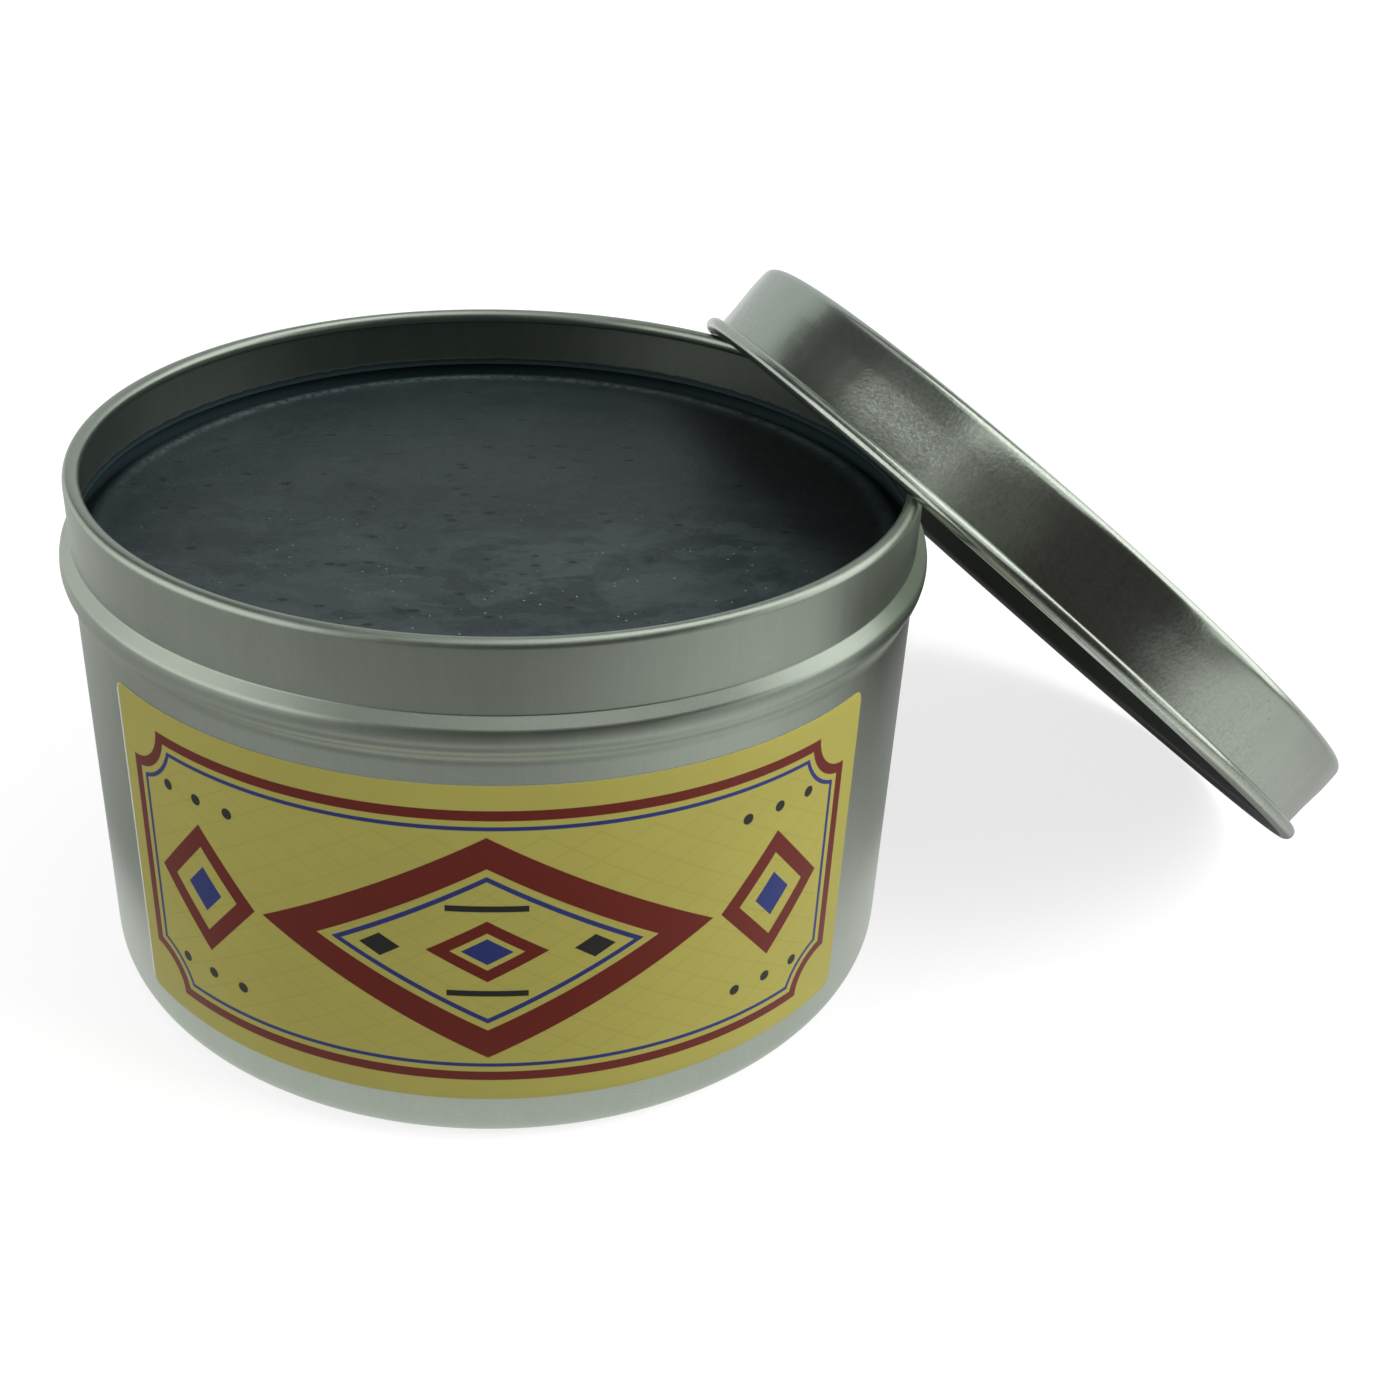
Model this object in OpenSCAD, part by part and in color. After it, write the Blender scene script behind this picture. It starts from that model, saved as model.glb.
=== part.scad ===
// Round tin of finishing wax with a slip lid: drawn shell, wax fill, paper label and the lid off,
// leaning on the rim. Millimetres, +Z up, the base stands on z = 0 and the label faces -Y.

/* [Tin body] */
// Outer diameter of the straight wall
body_d = 90; // [70:0.5:120]
// Height from the base to the top of the rim
tin_h = 57.3; // [45:0.1:80]
// Thickness of the tinplate
sheet = 0.3; // [0.2:0.05:0.5]
// Outer radius where the wall turns into the base
base_corner_r = 3.4; // [1.5:0.1:8]

/* [Neck, bead and rim] */
// Height of the neck, from the crease above the bead to the top of the rim
neck_h = 7.2; // [5:0.1:12]
// How far the neck is set in from the straight wall
neck_set = 0.2; // [0.1:0.05:0.5]
// Radius of the stop bead's round section
bead_r = 2.5; // [1.8:0.05:3]
// How far the bead stands out from the wall
bead_out = 1.1; // [0.6:0.05:1.3]
// Radius of the soft hollow under the bead
bead_fillet_r = 1.0; // [0.5:0.1:3]
// Diameter of the inward curl at the rim
rim_curl_d = 1.65; // [1.4:0.05:2.2]

/* [Lid] */
// Clearance all round between the neck and the inside of the lid
lid_clear = 0.95; // [0.4:0.05:1.2]
// Height of the lid, from its curled edge to its top
lid_h = 10.7; // [9:0.1:16]
// Outer radius of the lid's top corner
lid_corner_r = 1.2; // [0.6:0.1:2.5]
// Diameter of the outward curl at the lid's edge
lid_curl_d = 1.75; // [1.4:0.05:2.4]

/* [Lean of the lid] */
// Tilt of the lid's open side from the table, in degrees
lid_tilt = 42.4; // [40:0.1:50]
// Direction of the lean, in degrees from +X toward +Y
lid_turn = 17.0; // [0:0.1:40]
// Gap kept between the lid's curl and the rim it leans on
lean_gap = 0.1; // [0.1:0.05:0.8]

/* [Wax] */
// Depth of the wax surface below the rim
wax_drop = 8.5; // [7.7:0.1:20]
// Rounding of the wax's upper edge
wax_edge_r = 0.6; // [0.2:0.1:1.5]

/* [Label] */
// Width of the label, measured round the wall
label_w = 84; // [40:0.5:120]
// Height of the label
label_h = 37; // [20:0.5:41]
// How far the label's middle sits above the middle of the straight wall
label_up = 0.12; // [-1:0.01:1]
// Thickness of the label's paper
label_t = 0.15; // [0.1:0.05:0.3]
// Radius of the label's corners
label_corner_r = 1.3; // [0.6:0.1:4]
// Turn of the label's middle away from -Y, in degrees
label_turn = -1.8; // [-20:0.1:20]

/* [Hidden] */
$fn = 96;
// Overlap that makes touching sections of one piece fuse
fuse = 0.02;
body_r = body_d / 2;
inner_r = body_r - sheet;
neck_r = body_r - neck_set;
neck_in_r = neck_r - sheet;

// The bead's section is a circle set back into the wall, so that it stands out by bead_out.
bead_x = body_r + bead_out - bead_r;
bead_rise = sqrt(bead_r * bead_r - pow(neck_r - bead_x, 2));
crease_z = tin_h - neck_h;
bead_z = crease_z - bead_rise;
groove_r = bead_r - sheet;

// The hollow under the bead is a circle that touches the wall and the bead's section.
fillet_x = body_r + bead_fillet_r;
fillet_dz = sqrt(pow(bead_r + bead_fillet_r, 2) - pow(fillet_x - bead_x, 2));
fillet_z = bead_z - fillet_dz;
fillet_share = bead_r / (bead_r + bead_fillet_r);
touch_x = bead_x + fillet_share * (fillet_x - bead_x);
touch_z = bead_z - fillet_share * fillet_dz;

rim_curl_r = rim_curl_d / 2;
rim_core_r = neck_r - rim_curl_r;
rim_core_z = tin_h - rim_curl_r;

lid_in_r = neck_r + lid_clear;
lid_out_r = lid_in_r + sheet;
curl_r = lid_curl_d / 2;
curl_x = lid_in_r + curl_r;
// Angle round a curl, from straight out, at which its free edge stops short of the wall
curl_end = 110;

wax_z = tin_h - wax_drop;
label_deg = label_w / body_r * 180 / PI;
// The straight wall runs from the base's corner to the hollow under the bead.
label_z = (base_corner_r + fillet_z - label_h) / 2 + label_up;
// The label's corner rounding starts this far outside its edges, so that it crosses them cleanly.
corner_bite = 0.05;
corner_set = label_corner_r - corner_bite;

// The lid stands on its lowest point. It comes in from outside until its curl is lean_gap from the rim.
curl_core_z = curl_x * sin(lid_tilt) + curl_r;
function curl_point(d, t) = [
    d - curl_x * cos(t) * cos(lid_tilt),
    curl_x * sin(t),
    curl_core_z + curl_x * cos(t) * sin(lid_tilt)
];
function rim_space(p) = norm([norm([p.x, p.y]) - rim_core_r, p.z - rim_core_z]);
function lean_space(d) =
    min([for (t = [0:0.5:180]) rim_space(curl_point(d, t))]) - curl_r - rim_curl_r - lean_gap;
function lean_solve(near, far, steps) =
    steps == 0 ? far :
    let (mid = (near + far) / 2)
    lean_space(mid) < 0 ? lean_solve(mid, far, steps - 1) : lean_solve(near, mid, steps - 1);
lean_far = body_r + 2 * curl_x;
lean_hits = [for (d = [lean_far:-1:0]) if (lean_space(d) < 0) d];
lean_d = lean_solve(lean_hits[0], lean_hits[0] + 1, 16);

// A quarter of a ring in one corner of a section, centred on [x, z], toward +x and up or down
module corner_section(x, z, r, up) {
    translate([x, z])
        intersection() {
            difference() {
                circle(r);
                circle(r - sheet);
            }
            translate([0, up ? 0 : -r])
                square(r);
        }
}

// Section of a curled edge centred on [x, z]. The gap's points, from the centre, span its open part.
module curl_section(x, z, r, gap) {
    translate([x, z])
        difference() {
            circle(r);
            circle(r - sheet);
            polygon(2 * r * gap);
        }
}

// Section of the bead: round outside, with the groove that pressing it out leaves inside
module bead_section() {
    difference() {
        union() {
            translate([inner_r, fillet_z - fuse])
                square([sheet, bead_z - fillet_z]);
            translate([neck_in_r, bead_z])
                square([sheet, crease_z - bead_z + fuse]);
            intersection() {
                translate([bead_x, bead_z])
                    circle(bead_r);
                union() {
                    translate([inner_r, bead_z - bead_r])
                        square([2 * bead_r, bead_r + fuse]);
                    translate([neck_in_r, bead_z])
                        square([2 * bead_r, bead_r]);
                }
            }
            difference() {
                polygon([
                    [body_r - sheet / 2, fillet_z],
                    [body_r, fillet_z],
                    [touch_x, touch_z],
                    [body_r - sheet / 2, touch_z]
                ]);
                translate([fillet_x, fillet_z])
                    circle(bead_fillet_r);
            }
        }
        translate([bead_x, bead_z])
            circle(groove_r);
    }
}

module tin_body() {
    color([0.62, 0.64, 0.6])
        rotate_extrude() {
            square([body_r - base_corner_r + fuse, sheet]);
            corner_section(body_r - base_corner_r, base_corner_r, base_corner_r, false);
            translate([inner_r, base_corner_r - fuse])
                square([sheet, fillet_z - base_corner_r + 2 * fuse]);
            bead_section();
            translate([neck_in_r, crease_z - fuse])
                square([sheet, rim_core_z - crease_z + 2 * fuse]);
            curl_section(
                rim_core_r, rim_core_z, rim_curl_r,
                [[0, 0], [-cos(180 - curl_end), -sin(curl_end)], [1, -1], [1, 0]]
            );
        }
}

// The wax was poured in hot: it fills the inside and the bead's groove up to its surface.
module wax() {
    wax_corner = base_corner_r - sheet;
    color([0.22, 0.24, 0.25])
        rotate_extrude()
            difference() {
                union() {
                    translate([0, sheet])
                        square([inner_r - wax_corner, wax_z - sheet]);
                    translate([0, base_corner_r])
                        square([inner_r, wax_z - base_corner_r]);
                    intersection() {
                        translate([inner_r - wax_corner, base_corner_r])
                            circle(wax_corner);
                        square([inner_r, base_corner_r + fuse]);
                    }
                    intersection() {
                        translate([bead_x, bead_z])
                            circle(groove_r);
                        translate([bead_x, 0])
                            square([2 * bead_r, wax_z - wax_edge_r]);
                    }
                }
                difference() {
                    translate([inner_r - wax_edge_r, wax_z - wax_edge_r])
                        square([2 * wax_edge_r, 2 * wax_edge_r]);
                    translate([inner_r - wax_edge_r, wax_z - wax_edge_r])
                        circle(wax_edge_r);
                }
            }
}

// Cutter that rounds one corner of the label, at an angle from the middle and at a height
module label_corner(side, z, up) {
    turn = side * (label_deg / 2 - corner_set / body_r * 180 / PI);
    rotate([0, 0, turn])
        translate([0, -body_r + 1, z])
            rotate([90, 0, 0])
                linear_extrude(4)
                    difference() {
                        translate([side > 0 ? 0 : -2 * label_corner_r, up ? 0 : -2 * label_corner_r])
                            square(2 * label_corner_r);
                        circle(label_corner_r);
                    }
}

module label() {
    color([0.6, 0.57, 0.28])
        rotate([0, 0, label_turn])
            difference() {
                rotate([0, 0, -90 - label_deg / 2])
                    rotate_extrude(angle = label_deg)
                        translate([body_r, label_z])
                            square([label_t, label_h]);
                for (side = [-1, 1]) {
                    label_corner(side, label_z + corner_set, false);
                    label_corner(side, label_z + label_h - corner_set, true);
                }
            }
}

// Section of the lid, with its open edge at z = 0
module lid_section() {
    translate([lid_in_r, curl_r])
        square([sheet, lid_h - lid_corner_r - curl_r + fuse]);
    corner_section(lid_out_r - lid_corner_r, lid_h - lid_corner_r, lid_corner_r, true);
    translate([0, lid_h - sheet])
        square([lid_out_r - lid_corner_r + fuse, sheet]);
    curl_section(curl_x, curl_r, curl_r, [[0, 0], [cos(curl_end), sin(curl_end)], [-1, 1], [-1, 0]]);
}

module lid() {
    color([0.66, 0.68, 0.64])
        rotate([0, 0, lid_turn])
            translate([lean_d, 0, curl_core_z])
                rotate([0, lid_tilt, 0])
                    translate([0, 0, -curl_r])
                        rotate_extrude()
                            lid_section();
}

tin_body();
wax();
label();
lid();
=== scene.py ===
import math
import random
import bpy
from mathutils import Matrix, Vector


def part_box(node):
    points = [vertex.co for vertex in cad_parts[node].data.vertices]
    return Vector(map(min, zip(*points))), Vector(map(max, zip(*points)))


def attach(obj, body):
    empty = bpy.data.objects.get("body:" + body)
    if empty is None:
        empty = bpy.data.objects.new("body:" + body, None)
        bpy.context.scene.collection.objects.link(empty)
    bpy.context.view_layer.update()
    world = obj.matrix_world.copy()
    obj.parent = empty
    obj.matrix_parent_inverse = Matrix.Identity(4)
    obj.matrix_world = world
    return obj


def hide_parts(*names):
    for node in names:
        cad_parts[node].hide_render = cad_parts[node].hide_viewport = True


bl_info = {
    "name": "Finishing Wax Tin",
    "version": (1, 0, 0),
    "blender": (4, 5, 0),
    "location": "View3D > Sidebar > Wax Tin",
    "description": "Dresses the packed wax tin in tinplate, wax and a printed label, on a white stage",
    "category": "Object",
}

import bmesh
import bpy
from bpy.props import FloatProperty, FloatVectorProperty, IntProperty, PointerProperty
from mathutils import Matrix, Vector, noise

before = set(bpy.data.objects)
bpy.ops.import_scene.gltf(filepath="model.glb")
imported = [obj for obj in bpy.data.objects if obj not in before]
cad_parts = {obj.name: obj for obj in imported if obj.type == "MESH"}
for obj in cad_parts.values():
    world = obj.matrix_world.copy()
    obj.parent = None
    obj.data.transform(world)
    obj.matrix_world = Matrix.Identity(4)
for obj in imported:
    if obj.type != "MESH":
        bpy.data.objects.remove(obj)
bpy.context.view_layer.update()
TIN_LOW, TIN_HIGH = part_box("tin_body")
LID_LOW, LID_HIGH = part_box("lid")
WAX_LOW, WAX_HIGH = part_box("wax")
LABEL_LOW, LABEL_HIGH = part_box("label")

MM = 0.001
WHITE = (1.0, 1.0, 1.0, 1.0)


# Settings that a user would change


class WaxTinBody(bpy.types.PropertyGroup):
    """Shape and finish of the drawn shell"""

    sheet: FloatProperty(
        name="Sheet", description="Thickness of the tinplate", unit="LENGTH", default=0.3 * MM
    )
    base_corner: FloatProperty(
        name="Base corner",
        description="Outer radius where the wall turns into the base",
        unit="LENGTH",
        default=3.4 * MM,
    )
    neck_height: FloatProperty(
        name="Neck height",
        description="From the crease above the bead to the top of the rim",
        unit="LENGTH",
        default=7.2 * MM,
    )
    neck_set: FloatProperty(
        name="Neck set",
        description="How far the neck is set in from the straight wall",
        unit="LENGTH",
        default=0.2 * MM,
    )
    bead: FloatProperty(
        name="Bead radius",
        description="Radius of the stop bead's round section",
        unit="LENGTH",
        default=2.5 * MM,
    )
    bead_out: FloatProperty(
        name="Bead height",
        description="How far the bead stands out from the wall",
        unit="LENGTH",
        default=1.1 * MM,
    )
    bead_hollow: FloatProperty(
        name="Bead hollow",
        description="Radius of the soft hollow under the bead",
        unit="LENGTH",
        default=3.0 * MM,
    )
    crease: FloatProperty(
        name="Crease",
        description="Radius of the crease above the bead",
        unit="LENGTH",
        default=0.25 * MM,
    )
    shoulder: FloatProperty(
        name="Ledge",
        description="Slope of the ledge on the bead's upper side, between the crease and its round",
        subtype="ANGLE",
        default=math.radians(47.0),
    )
    bead_round: FloatProperty(
        name="Bead round",
        description="Radius of the tight round between the ledge and the bead's side",
        unit="LENGTH",
        default=0.9 * MM,
    )
    rim_curl: FloatProperty(
        name="Rim curl",
        description="Diameter of the inward curl at the rim",
        unit="LENGTH",
        default=1.65 * MM,
    )
    colour: FloatVectorProperty(
        name="Plate colour",
        description="Colour of the satin plate",
        subtype="COLOR",
        default=(0.368, 0.412, 0.350),
    )
    roughness: FloatProperty(
        name="Plate roughness",
        description="Softness of the reflections",
        subtype="FACTOR",
        default=0.37,
        min=0.05,
        max=1.0,
    )


class WaxTinLid(bpy.types.PropertyGroup):
    """Shape, lean and finish of the slip lid"""

    inside: FloatProperty(
        name="Inside radius", description="Radius inside the lid", unit="LENGTH", default=45.75 * MM
    )
    height: FloatProperty(
        name="Height",
        description="From the curled edge to the top",
        unit="LENGTH",
        default=10.7 * MM,
    )
    corner: FloatProperty(
        name="Corner", description="Outer radius of the top corner", unit="LENGTH", default=1.2 * MM
    )
    swell: FloatProperty(
        name="Swell",
        description="How far the wall swells under the top corner",
        unit="LENGTH",
        default=0.10 * MM,
    )
    curl: FloatProperty(
        name="Curl",
        description="Diameter of the outward curl at the edge",
        unit="LENGTH",
        default=1.75 * MM,
    )
    tilt: FloatProperty(
        name="Tilt",
        description="Tilt of the open side from the table",
        subtype="ANGLE",
        default=math.radians(42.4),
    )
    turn: FloatProperty(
        name="Turn",
        description="Direction of the lean, from +X toward +Y",
        subtype="ANGLE",
        default=math.radians(17.0),
    )
    colour: FloatVectorProperty(
        name="Plate colour",
        description="Colour of the brighter plate",
        subtype="COLOR",
        default=(0.44, 0.485, 0.418),
    )
    roughness: FloatProperty(
        name="Plate roughness",
        description="Softness of the reflections",
        subtype="FACTOR",
        default=0.22,
        min=0.05,
        max=1.0,
    )


class WaxTinFill(bpy.types.PropertyGroup):
    """Shape and finish of the wax"""

    edge_width: FloatProperty(
        name="Edge width",
        description="Width of the shoulder where the wax turns down at the wall",
        unit="LENGTH",
        default=2.6 * MM,
    )
    edge_drop: FloatProperty(
        name="Edge drop",
        description="How far the shoulder turns down at the wall",
        unit="LENGTH",
        default=1.4 * MM,
    )
    lip_width: FloatProperty(
        name="Lip width",
        description="Width of the lip where the wax climbs before it turns down",
        unit="LENGTH",
        default=1.7 * MM,
    )
    lip_height: FloatProperty(
        name="Lip height",
        description="How far the wax climbs at its lip",
        unit="LENGTH",
        default=0.32 * MM,
    )
    pits: IntProperty(
        name="Pits",
        description="Number of small air pits in the surface",
        default=110,
        min=0,
        max=400,
    )
    colour: FloatVectorProperty(
        name="Wax colour",
        description="Body colour of the wax",
        subtype="COLOR",
        default=(0.0105, 0.0190, 0.0215),
    )
    # Also the base of the painted glints, the painted lip highlight and the painted sheen toward the back.
    haze_and_sheen_colour: FloatVectorProperty(
        name="Haze colour",
        description="Colour of the paler smears where the wax has bloomed",
        subtype="COLOR",
        default=(0.045, 0.060, 0.063),
    )


class WaxTinLabel(bpy.types.PropertyGroup):
    """Size and print of the label"""

    width: FloatProperty(
        name="Width", description="Width measured round the wall", unit="LENGTH", default=84.0 * MM
    )
    thickness: FloatProperty(
        name="Thickness", description="Thickness of the paper", unit="LENGTH", default=0.15 * MM
    )
    corner: FloatProperty(
        name="Corner", description="Radius of the corners", unit="LENGTH", default=1.3 * MM
    )
    margin: FloatProperty(
        name="Bare margin",
        description="Strip along the left edge that the print misses",
        unit="LENGTH",
        default=0.6 * MM,
    )
    turn: FloatProperty(
        name="Turn",
        description="Turn of the label's middle away from -Y",
        subtype="ANGLE",
        default=math.radians(-1.8),
    )
    ground: FloatVectorProperty(
        name="Ground",
        description="Yellow ground of the print",
        subtype="COLOR",
        default=(0.355, 0.322, 0.068),
    )
    red: FloatVectorProperty(
        name="Red",
        description="Dark red of the frame and the large diamonds",
        subtype="COLOR",
        default=(0.112, 0.007, 0.002),
    )
    blue: FloatVectorProperty(
        name="Blue",
        description="Blue of the thin lines and the small diamonds",
        subtype="COLOR",
        default=(0.014, 0.024, 0.135),
    )
    ink: FloatVectorProperty(
        name="Black",
        description="Near black of the beads and bars",
        subtype="COLOR",
        default=(0.013, 0.013, 0.012),
    )


class WaxTinStage(bpy.types.PropertyGroup):
    """Camera and light"""

    camera_place: FloatVectorProperty(
        name="Camera place",
        description="Where the camera stands",
        subtype="TRANSLATION",
        unit="LENGTH",
        default=(0.0, -0.174942, 0.128309),
    )
    camera_yaw: FloatProperty(
        name="Camera yaw",
        description="Turn of the camera to the right of +Y",
        subtype="ANGLE",
        default=math.radians(5.228),
    )
    camera_down: FloatProperty(
        name="Camera down",
        description="How far the camera looks below the horizon",
        subtype="ANGLE",
        default=math.radians(30.395),
    )
    camera_roll: FloatProperty(
        name="Camera roll",
        description="Roll of the camera about its own line of sight",
        subtype="ANGLE",
        default=math.radians(2.507),
    )
    camera_lens: FloatProperty(
        name="Camera lens",
        description="Focal length on a 36 mm sensor, in millimetres",
        default=45.066,
    )
    camera_shift: FloatProperty(
        name="Camera shift",
        description="Sideways shift that the photograph's framing needs",
        default=60.0 / 1400.0,
    )
    ambient: FloatProperty(
        name="Ambient",
        description="Level of the even light from all round",
        default=0.41,
        min=0.0,
    )
    top_power: FloatProperty(
        name="Top lamp",
        description="Power of the soft lamp overhead",
        unit="POWER",
        default=1.2,
    )
    right_power: FloatProperty(
        name="Right lamp",
        description="Power of the soft lamp on the right",
        unit="POWER",
        default=6.8,
    )
    left_power: FloatProperty(
        name="Left lamp",
        description="Power of the soft lamp on the left",
        unit="POWER",
        default=1.8,
    )


# Shader expressions


class Wire:
    """One shader value. Python's operators on it add Math nodes to its finish."""

    def __init__(self, finish, socket):
        self.finish = finish
        self.socket = socket

    def math(self, operation, *terms):
        return self.finish.add("ShaderNodeMath", {"operation": operation}, dict(enumerate(terms)))

    def __add__(self, other):
        return self.math("ADD", self, other)

    def __radd__(self, other):
        return self.math("ADD", other, self)

    def __sub__(self, other):
        return self.math("SUBTRACT", self, other)

    def __rsub__(self, other):
        return self.math("SUBTRACT", other, self)

    def __mul__(self, other):
        return self.math("MULTIPLY", self, other)

    def __rmul__(self, other):
        return self.math("MULTIPLY", other, self)

    def __truediv__(self, other):
        return self.math("DIVIDE", self, other)

    def __pow__(self, other):
        return self.math("POWER", self, other)

    def __neg__(self):
        return self.math("MULTIPLY", self, -1.0)

    def __abs__(self):
        return self.math("ABSOLUTE", self)

    def least(self, other):
        return self.math("MINIMUM", self, other)

    def most(self, other):
        return self.math("MAXIMUM", self, other)

    def rise(self, low, high):
        """Goes smoothly from 0 at low to 1 at high."""
        return self.finish.add(
            "ShaderNodeMapRange",
            {"interpolation_type": "SMOOTHSTEP", "clamp": True},
            {"Value": self, "From Min": low, "From Max": high, "To Min": 0.0, "To Max": 1.0},
        )

    def clamp(self):
        return self.finish.add("ShaderNodeClamp", {}, {"Value": self, "Min": 0.0, "Max": 1.0})


class Finish:
    """A node tree under construction, with the methods that add to it."""

    def __init__(self, tree):
        self.tree = tree
        tree.nodes.clear()

    def add(self, kind, settings, sockets, out=0):
        """Adds a node: its settings first, then the values or links of its sockets. Returns one output."""
        node = self.tree.nodes.new(kind)
        for key, value in settings.items():
            setattr(node, key, value)
        for key, value in sockets.items():
            if isinstance(value, Wire):
                self.tree.links.new(value.socket, node.inputs[key])
            else:
                node.inputs[key].default_value = value
        return Wire(self, node.outputs[out]) if node.outputs else None

    def point(self, origin=(0.0, 0.0, 0.0), turn=(0.0, 0.0, 0.0)):
        """Object coordinates in a frame of the piece's own, in millimetres."""
        place = self.add("ShaderNodeTexCoord", {}, {}, "Object")
        return self.add(
            "ShaderNodeMapping",
            {"vector_type": "TEXTURE"},
            {"Vector": place, "Location": origin, "Rotation": turn, "Scale": (MM, MM, MM)},
        )

    def stretch(self, vector, scale):
        return self.add("ShaderNodeVectorMath", {"operation": "MULTIPLY"}, {0: vector, 1: scale})

    def axes(self, vector):
        node = self.add("ShaderNodeSeparateXYZ", {}, {"Vector": vector})
        return [Wire(self, output) for output in node.socket.node.outputs]

    def grain(self, vector, scale, detail=3.0, roughness=0.55, distortion=0.0):
        """Noise from 0 to 1, with scale in cells for each unit of the vector."""
        sockets = {
            "Vector": vector,
            "Scale": scale,
            "Detail": detail,
            "Roughness": roughness,
            "Distortion": distortion,
        }
        return self.add("ShaderNodeTexNoise", {"noise_dimensions": "3D"}, sockets)

    def cells(self, vector, scale, out="Distance"):
        """Round cells: the distance from the nearest one's middle, or its colour."""
        return self.add("ShaderNodeTexVoronoi", {"feature": "F1"}, {"Vector": vector, "Scale": scale}, out)

    def mix(self, factor, first, second):
        """Mixes two colours."""
        return self.add("ShaderNodeMix", {"data_type": "RGBA"}, {0: factor, 6: first, 7: second}, 2)

    def bump(self, height, strength):
        """Normal from a height in millimetres."""
        return self.add(
            "ShaderNodeBump", {}, {"Strength": strength, "Distance": MM, "Height": height}
        )

    def surface(self, sockets):
        shader = self.add("ShaderNodeBsdfPrincipled", {}, sockets)
        self.add("ShaderNodeOutputMaterial", {}, {"Surface": shader})


def new_finish(name):
    """A fresh material and the finish that fills its nodes."""
    material = bpy.data.materials.new(name)
    material.use_nodes = True
    return material, Finish(material.node_tree)


def rgba(colour, level=1.0):
    return (colour[0] * level, colour[1] * level, colour[2] * level, 1.0)


# Finishes


def within(distance, width, soft=0.07):
    """Mask of 1 where a distance is inside a line of this half width, with a printed edge."""
    return ((width - abs(distance)) / soft + 0.5).clamp()


def inside(distance, soft=0.07):
    """Mask of 1 where a signed distance is negative."""
    return (0.5 - distance / soft).clamp()


def diamond(along, up, half_along, half_up):
    """Signed distance from the edge of a diamond, negative inside."""
    size = half_along * half_up / math.hypot(half_along, half_up)
    return (along / half_along + up / half_up - 1.0) * size


def tinplate(name, look, place, shade=1.0, speckle=0.1, scuff=0.2, wear=0.0, wax_and_shade_film=None):
    """Bare drawn tinplate: cloudy tin, drawing marks up the wall, fine grain, scuffs and specks of dirt.

    Wear is the strength of a fine texture in patches. Shade scales the plate's colour: a painted shade below
    1, a painted brightening above 1. A wax-and-shade film is a colour smeared up the inside, to a height in
    millimetres: wax on the tin, a painted shade band on the lid.
    """
    material, f = new_finish(name)
    p = f.point(place.to_translation(), place.to_euler())
    x, y, z = f.axes(p)
    drawn = f.grain(f.stretch(p, (1.0, 1.0, 0.06)), 0.34, 3.0, 0.55)
    hairs = f.grain(f.stretch(p, (1.0, 1.0, 0.12)), 3.2, 2.0, 0.5)
    cloud = f.grain(p, 0.06, 3.0, 0.5)
    grit = f.grain(p, 2.4, 3.0, 0.65)
    dirt = (1.0 - f.cells(p, 0.8).rise(0.04, 0.14)) * f.grain(p, 0.25, 2.0, 0.5).rise(0.52, 0.62)
    around = x.math("ARCTAN2", x, -y) * (wall_radius() / MM)
    slant = f.add("ShaderNodeCombineXYZ", {}, {0: around * 0.16 + z * 0.05, 1: z * 2.2 + around * 0.35})
    top_end, wall_start = 42.0, 44.0
    on_wall = ((x * x + y * y) ** 0.5).rise(top_end, wall_start)
    scratch = f.grain(slant, 1.0, 1.0, 0.5).rise(0.70, 0.75) * on_wall
    worn = (f.grain(p, 2.7, 3.0, 0.65) - 0.5) * (1.0 - cloud.rise(0.42, 0.58)) * wear
    tone = (drawn - 0.5) * 0.5 + (hairs - 0.5) * 0.4 + (cloud - 0.5) * 0.5 + (grit - 0.5) * 0.35
    light = (0.5 + tone + worn * 3.0).clamp()
    plate = f.mix(light, rgba(look.colour, 0.86 * shade), rgba(look.colour, 1.14 * shade))
    plate = f.mix(dirt * speckle, plate, rgba(look.colour, 0.35 * shade))
    plate = f.mix(scratch * scuff, plate, rgba(look.colour, 1.5 * shade))
    rough = look.roughness + (drawn - 0.5) * 0.06 + (grit - 0.5) * 0.08 + (cloud - 0.5) * 0.08
    height = (drawn - 0.5) * 0.006 + (hairs - 0.5) * 0.002 + (cloud - 0.5) * 0.20 + (grit - 0.5) * 0.001
    metallic = 1.0
    # The film darkens the inside below a height: real wax on the tin, a painted shade band on the lid's inner
    # wall and curl.
    if wax_and_shade_film:
        wax_and_shade_colour, wax_and_shade_top = wax_and_shade_film
        ragged = z + (f.grain(p, 0.5, 3.0, 0.6) - 0.5) * 0.5
        smear = 1.0 - ragged.rise(wax_and_shade_top - 0.2, wax_and_shade_top + 0.9)
        plate = f.mix((smear * 3.0).clamp(), plate, rgba(wax_and_shade_colour, 1.9))
        metallic = 1.0 - smear
        rough = rough + smear * 0.15
    f.surface(
        {
            "Base Color": plate,
            "Metallic": metallic,
            "Roughness": rough.clamp(),
            "Normal": f.bump(height + worn * 0.026, 0.7),
        }
    )
    return material


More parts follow.
